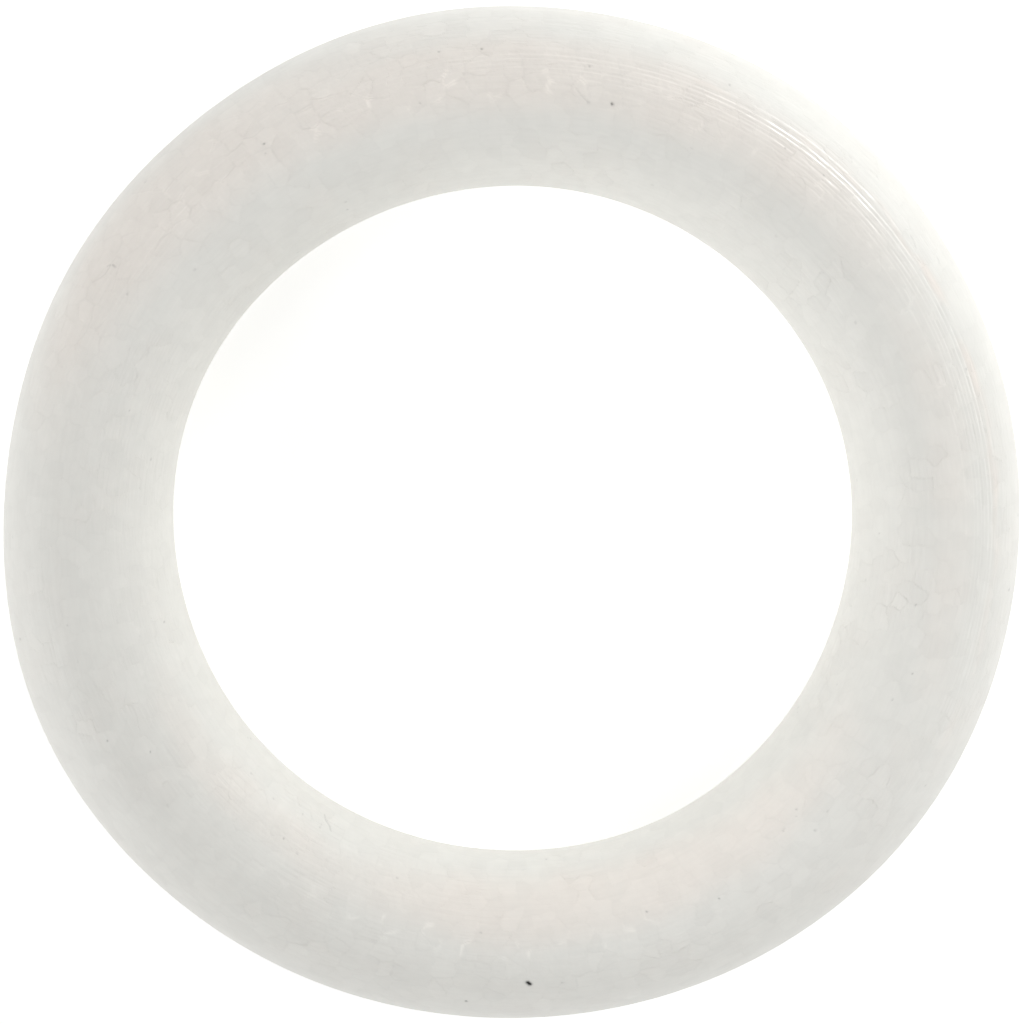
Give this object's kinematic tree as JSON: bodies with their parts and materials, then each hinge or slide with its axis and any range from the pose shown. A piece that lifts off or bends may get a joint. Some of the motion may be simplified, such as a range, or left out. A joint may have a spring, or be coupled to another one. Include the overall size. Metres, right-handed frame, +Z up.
{
  "type": "foam craft ring",
  "caption": "Full round ring moulded from expanded-polystyrene beads: plain circular section, open round eye, closed skin with bead outlines and fine concentric mould lines.",
  "frame": {"origin": "on the surface the ring rests on, under the centre of its eye", "axes": "+Z up along the ring's own axis, X and Y across it; the ring is the same all round"},
  "size_m": [0.22, 0.22, 0.0365],
  "materials": {
    "bead_foam": "matte",
    "foam_skin": "satin"
  },
  "bodies": {
    "root": {"bead_core": "bead_foam", "upper_skin": "foam_skin", "lower_skin": "foam_skin"}
  },
  "joints": []
}
